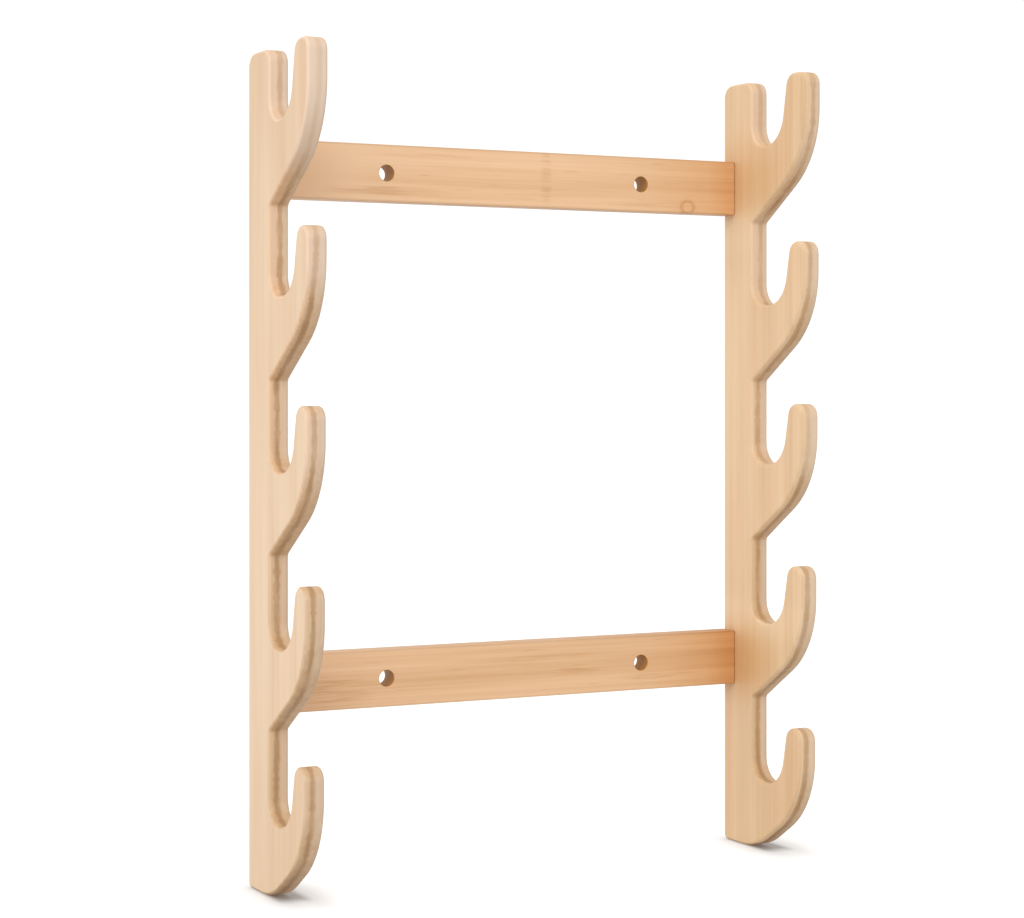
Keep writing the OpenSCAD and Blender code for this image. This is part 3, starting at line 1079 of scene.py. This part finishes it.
# Shares of the layers in the tone, and the mix at which the wood is all light, and all dark
DOWEL_MIX = {"fibre": 0.6, "fleck": 0.4}
DOWEL_TONES = (0.35, 0.7)
# How dark the dark fibre is beside the light one, and how much rougher the wood is than the bamboo
DOWEL_SHADE = 0.7
DOWEL_ROUGHER = 0.12


def dowel_material(name, finish):
    """Plain beech pegs with their grain along them."""
    material, graph = new_material(name)
    grain = grain_of(graph.node("ShaderNodeTexCoord")["Object"], DOWEL_LAYERS, 0.0)
    shade = [channel * DOWEL_SHADE for channel in finish.dowel_tone]
    colour_wire = graph.blend(rgba(finish.dowel_tone), rgba(shade),
                              ease(mixed(grain, DOWEL_MIX), *DOWEL_TONES))
    lacquered(graph, colour_wire, grain["fibre"], finish.gloss + DOWEL_ROUGHER)
    return material


# Studio

# Width of the camera's sensor in millimetres, and how near and far it sees
SENSOR_WIDTH = 36.0
CLIP_RANGE = (0.05, 200.0)
# How far the floor lies below the feet
FLOOR_GAP = 0.0001
FLOOR_ROUGHNESS = 0.9
# How many times faster the floor's shade fades beside and behind a foot than in front of it
FADE_BESIDE = 2.3
FADE_BEHIND = 2.2
# How far the fade has already come at the wall, in metres
START_BEHIND = 0.012
# The shade's two fades: start and end in shares of its reach, and strength
CLOSE_FADE = (-0.1, 0.4, 0.5)
WIDE_FADE = (-0.2, 1.5, 0.5)
# Steepness downwards at which the light from below is full, and at which it has given way
HORIZON = (-0.35, -0.04)


def add_camera(scene, studio):
    """The photograph's view: level, turned away from the wall and shifted."""
    camera = placed("Camera", bpy.data.cameras.new("Camera"))
    camera.location = studio.camera_place
    camera.rotation_euler = (math.pi / 2, 0.0, -studio.camera_turn)
    camera.data.lens = studio.lens
    camera.data.sensor_width = SENSOR_WIDTH
    camera.data.shift_y = studio.horizon_shift
    camera.data.clip_start, camera.data.clip_end = CLIP_RANGE
    scene.camera = camera


def floor_material(studio, board):
    """Plain and pale, glowing a little, with a soft shade close to the feet."""
    material, graph = new_material("Floor")
    x, y, _ = graph.split(graph.node("ShaderNodeTexCoord")["Object"])
    outer, inner = (abs(corner.x) for corner in BOARD_BOX["left"])
    from_board = abs(abs(x - studio.contact_right) - (outer + inner) / 2) - (outer - inner) / 2
    beside = from_board * FADE_BESIDE
    in_front = -y - (board.foot_depth + studio.contact_front)
    beyond = graph.math("MAXIMUM", y * FADE_BEHIND + START_BEHIND, in_front)
    from_foot = apart(graph.math("MAXIMUM", beside, 0.0), graph.math("MAXIMUM", beyond, 0.0))
    in_open = 0.0
    for start, end, share in (CLOSE_FADE, WIDE_FADE):
        in_open = in_open + ease(from_foot, start * studio.contact, end * studio.contact, share)
    glow = graph.blend(rgba((0.0, 0.0, 0.0)), rgba((1.0, 1.0, 1.0)), in_open)
    tone = graph.blend(rgba(studio.contact_shade), rgba(studio.floor_colour), in_open)
    shader = graph.node("ShaderNodeBsdfPrincipled",
                        {"Base Color": tone, "Roughness": FLOOR_ROUGHNESS, "Specular IOR Level": 0.0,
                         "Emission Color": glow, "Emission Strength": studio.floor_glow})[0]
    graph.node("ShaderNodeOutputMaterial", {"Surface": shader})
    graph.spread_out()
    return material


def add_floor(studio, board):
    """A plain square that the feet stand on."""
    half, level = studio.floor_size / 2, CAD_BOX[0].z - FLOOR_GAP
    corners = [(x * half, y * half, level) for x, y in ((-1, -1), (1, -1), (1, 1), (-1, 1))]
    mesh = bpy.data.meshes.new("floor")
    mesh.from_pydata(corners, [], [(0, 1, 2, 3)])
    mesh.materials.append(floor_material(studio, board))
    ground = placed("floor", mesh)
    ground.visible_diffuse = False


def add_room_light(scene, studio):
    """Soft light from all round, stronger from above and from the left, and a bright backdrop."""
    world = bpy.data.worlds.new("Studio")
    scene.world = world
    world.use_nodes = True
    world.node_tree.nodes.clear()
    graph = Graph(world.node_tree)
    across, _, height = graph.split(graph.node("ShaderNodeTexCoord")["Generated"])
    power = studio.ground + ease(height, *HORIZON, studio.sky - studio.ground)
    power = power * (1.0 - studio.lean * across)
    power = power.toward(studio.backdrop, graph.node("ShaderNodeLightPath")["Is Camera Ray"])
    light = graph.node("ShaderNodeBackground", {"Color": rgba((1.0, 1.0, 1.0)), "Strength": power})[0]
    graph.node("ShaderNodeOutputWorld", {"Surface": light})
    graph.spread_out()


def add_key_light(studio):
    """A large soft light in front of the rack on the left, turned to its middle."""
    key = placed("Key", bpy.data.lights.new("Key", "AREA"))
    key.data.shape = "DISK"
    key.data.size = studio.key_size
    key.data.energy = studio.key_power
    key.location = studio.key_place
    key.rotation_euler = (-Vector(studio.key_place)).to_track_quat("-Z", "Y").to_euler()


# Operators

class ROD_RACK_OT_boards(bpy.types.Operator):
    """Make the two hooked boards"""
    bl_idname = "rod_rack.boards"
    bl_label = "Hooked Boards"

    def execute(self, context):
        scene = context.scene
        board, rail, finish = scene.rod_rack_board, scene.rod_rack_rail, scene.rod_rack_finish
        shape, joint = board_group(board), joint_group()
        for side, (low, high) in BOARD_BOX.items():
            material = board_material("Bamboo Board " + side.title(), side, finish, board)
            values = {name: getattr(board, name) for name in (*BOARD_LENGTHS, "under_slope", "hooks")}
            values.update({"foot_level": low.z, "middle": (low.x + high.x) / 2,
                           "thickness": high.x - low.x, "material": material})
            inner = high.x if side == "left" else low.x
            places = [(inner, RAIL_LEVEL[place]) for place in ("lower", "upper")]
            holes = joint_values(rail, places, rail.hole_in_board, material)
            piece = built(side + "_board", shape, values, board.edge_round, joint, holes)
            handed_over(piece, side + "_bracket")
        return {"FINISHED"}


class ROD_RACK_OT_rails(bpy.types.Operator):
    """Make the two cross rails with their screw holes"""
    bl_idname = "rod_rack.rails"
    bl_label = "Cross Rails"

    def execute(self, context):
        rail, finish = context.scene.rod_rack_rail, context.scene.rod_rack_finish
        shape, joint = rail_group(rail), joint_group()
        for place, (low, high) in RAIL_BOX.items():
            level = RAIL_LEVEL[place]
            material = rail_material("Bamboo Rail " + place.title(), place, finish, rail)
            values = {name: getattr(rail, name) for name in RAIL_LENGTHS}
            values.update({"length": high.x - low.x, "height": high.z - low.z,
                           "thickness": high.y - low.y, "level": level, "material": material})
            places = ((low.x, level), (high.x, level))
            holes = joint_values(rail, places, rail.hole_in_rail, material)
            piece = built(place + "_cross_rail", shape, values, rail.edge_round, joint, holes)
            handed_over(piece, place + "_rail")
        return {"FINISHED"}


class ROD_RACK_OT_dowels(bpy.types.Operator):
    """Give the dowels inside the joints their wood"""
    bl_idname = "rod_rack.dowels"
    bl_label = "Dowels"

    def execute(self, context):
        material = dowel_material("Dowel Beech", context.scene.rod_rack_finish)
        for name in DOWEL_NODES:
            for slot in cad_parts[name].material_slots:
                slot.material = material
        return {"FINISHED"}


class ROD_RACK_OT_studio(bpy.types.Operator):
    """Set up the camera, the floor and the light"""
    bl_idname = "rod_rack.studio"
    bl_label = "Studio"

    def execute(self, context):
        scene = context.scene
        studio = scene.rod_rack_studio
        scene.view_settings.view_transform = "Standard"
        add_camera(scene, studio)
        add_floor(studio, scene.rod_rack_board)
        add_room_light(scene, studio)
        add_key_light(studio)
        return {"FINISHED"}


class ROD_RACK_PT_sidebar(bpy.types.Panel):
    """Sizes, finish and pieces of the rack"""
    bl_idname = "ROD_RACK_PT_sidebar"
    bl_label = "Rod Rack"
    bl_space_type = "VIEW_3D"
    bl_region_type = "UI"
    bl_category = "Rod Rack"

    def draw(self, context):
        for title, name, operator in SECTIONS:
            settings = getattr(context.scene, name)
            box = self.layout.box()
            box.label(text=title)
            for key in settings.__class__.__annotations__:
                box.prop(settings, key)
            box.operator(operator.bl_idname)


SECTIONS = (
    ("Boards", "rod_rack_board", ROD_RACK_OT_boards),
    ("Rails", "rod_rack_rail", ROD_RACK_OT_rails),
    ("Bamboo", "rod_rack_finish", ROD_RACK_OT_dowels),
    ("Studio", "rod_rack_studio", ROD_RACK_OT_studio),
)
GROUPS = {"rod_rack_board": BoardSizes, "rod_rack_rail": RailSizes,
          "rod_rack_finish": BambooFinish, "rod_rack_studio": StudioSettings}
CLASSES = (*GROUPS.values(), ROD_RACK_OT_boards, ROD_RACK_OT_rails, ROD_RACK_OT_dowels,
           ROD_RACK_OT_studio, ROD_RACK_PT_sidebar)


def register():
    for each in CLASSES:
        bpy.utils.register_class(each)
    for name, group in GROUPS.items():
        setattr(bpy.types.Scene, name, PointerProperty(type=group))


def unregister():
    for name in GROUPS:
        delattr(bpy.types.Scene, name)
    for each in reversed(CLASSES):
        bpy.utils.unregister_class(each)


def main():
    register()
    bpy.ops.rod_rack.studio()
    bpy.ops.rod_rack.boards()
    bpy.ops.rod_rack.rails()
    bpy.ops.rod_rack.dowels()


if __name__ == "__main__":
    main()
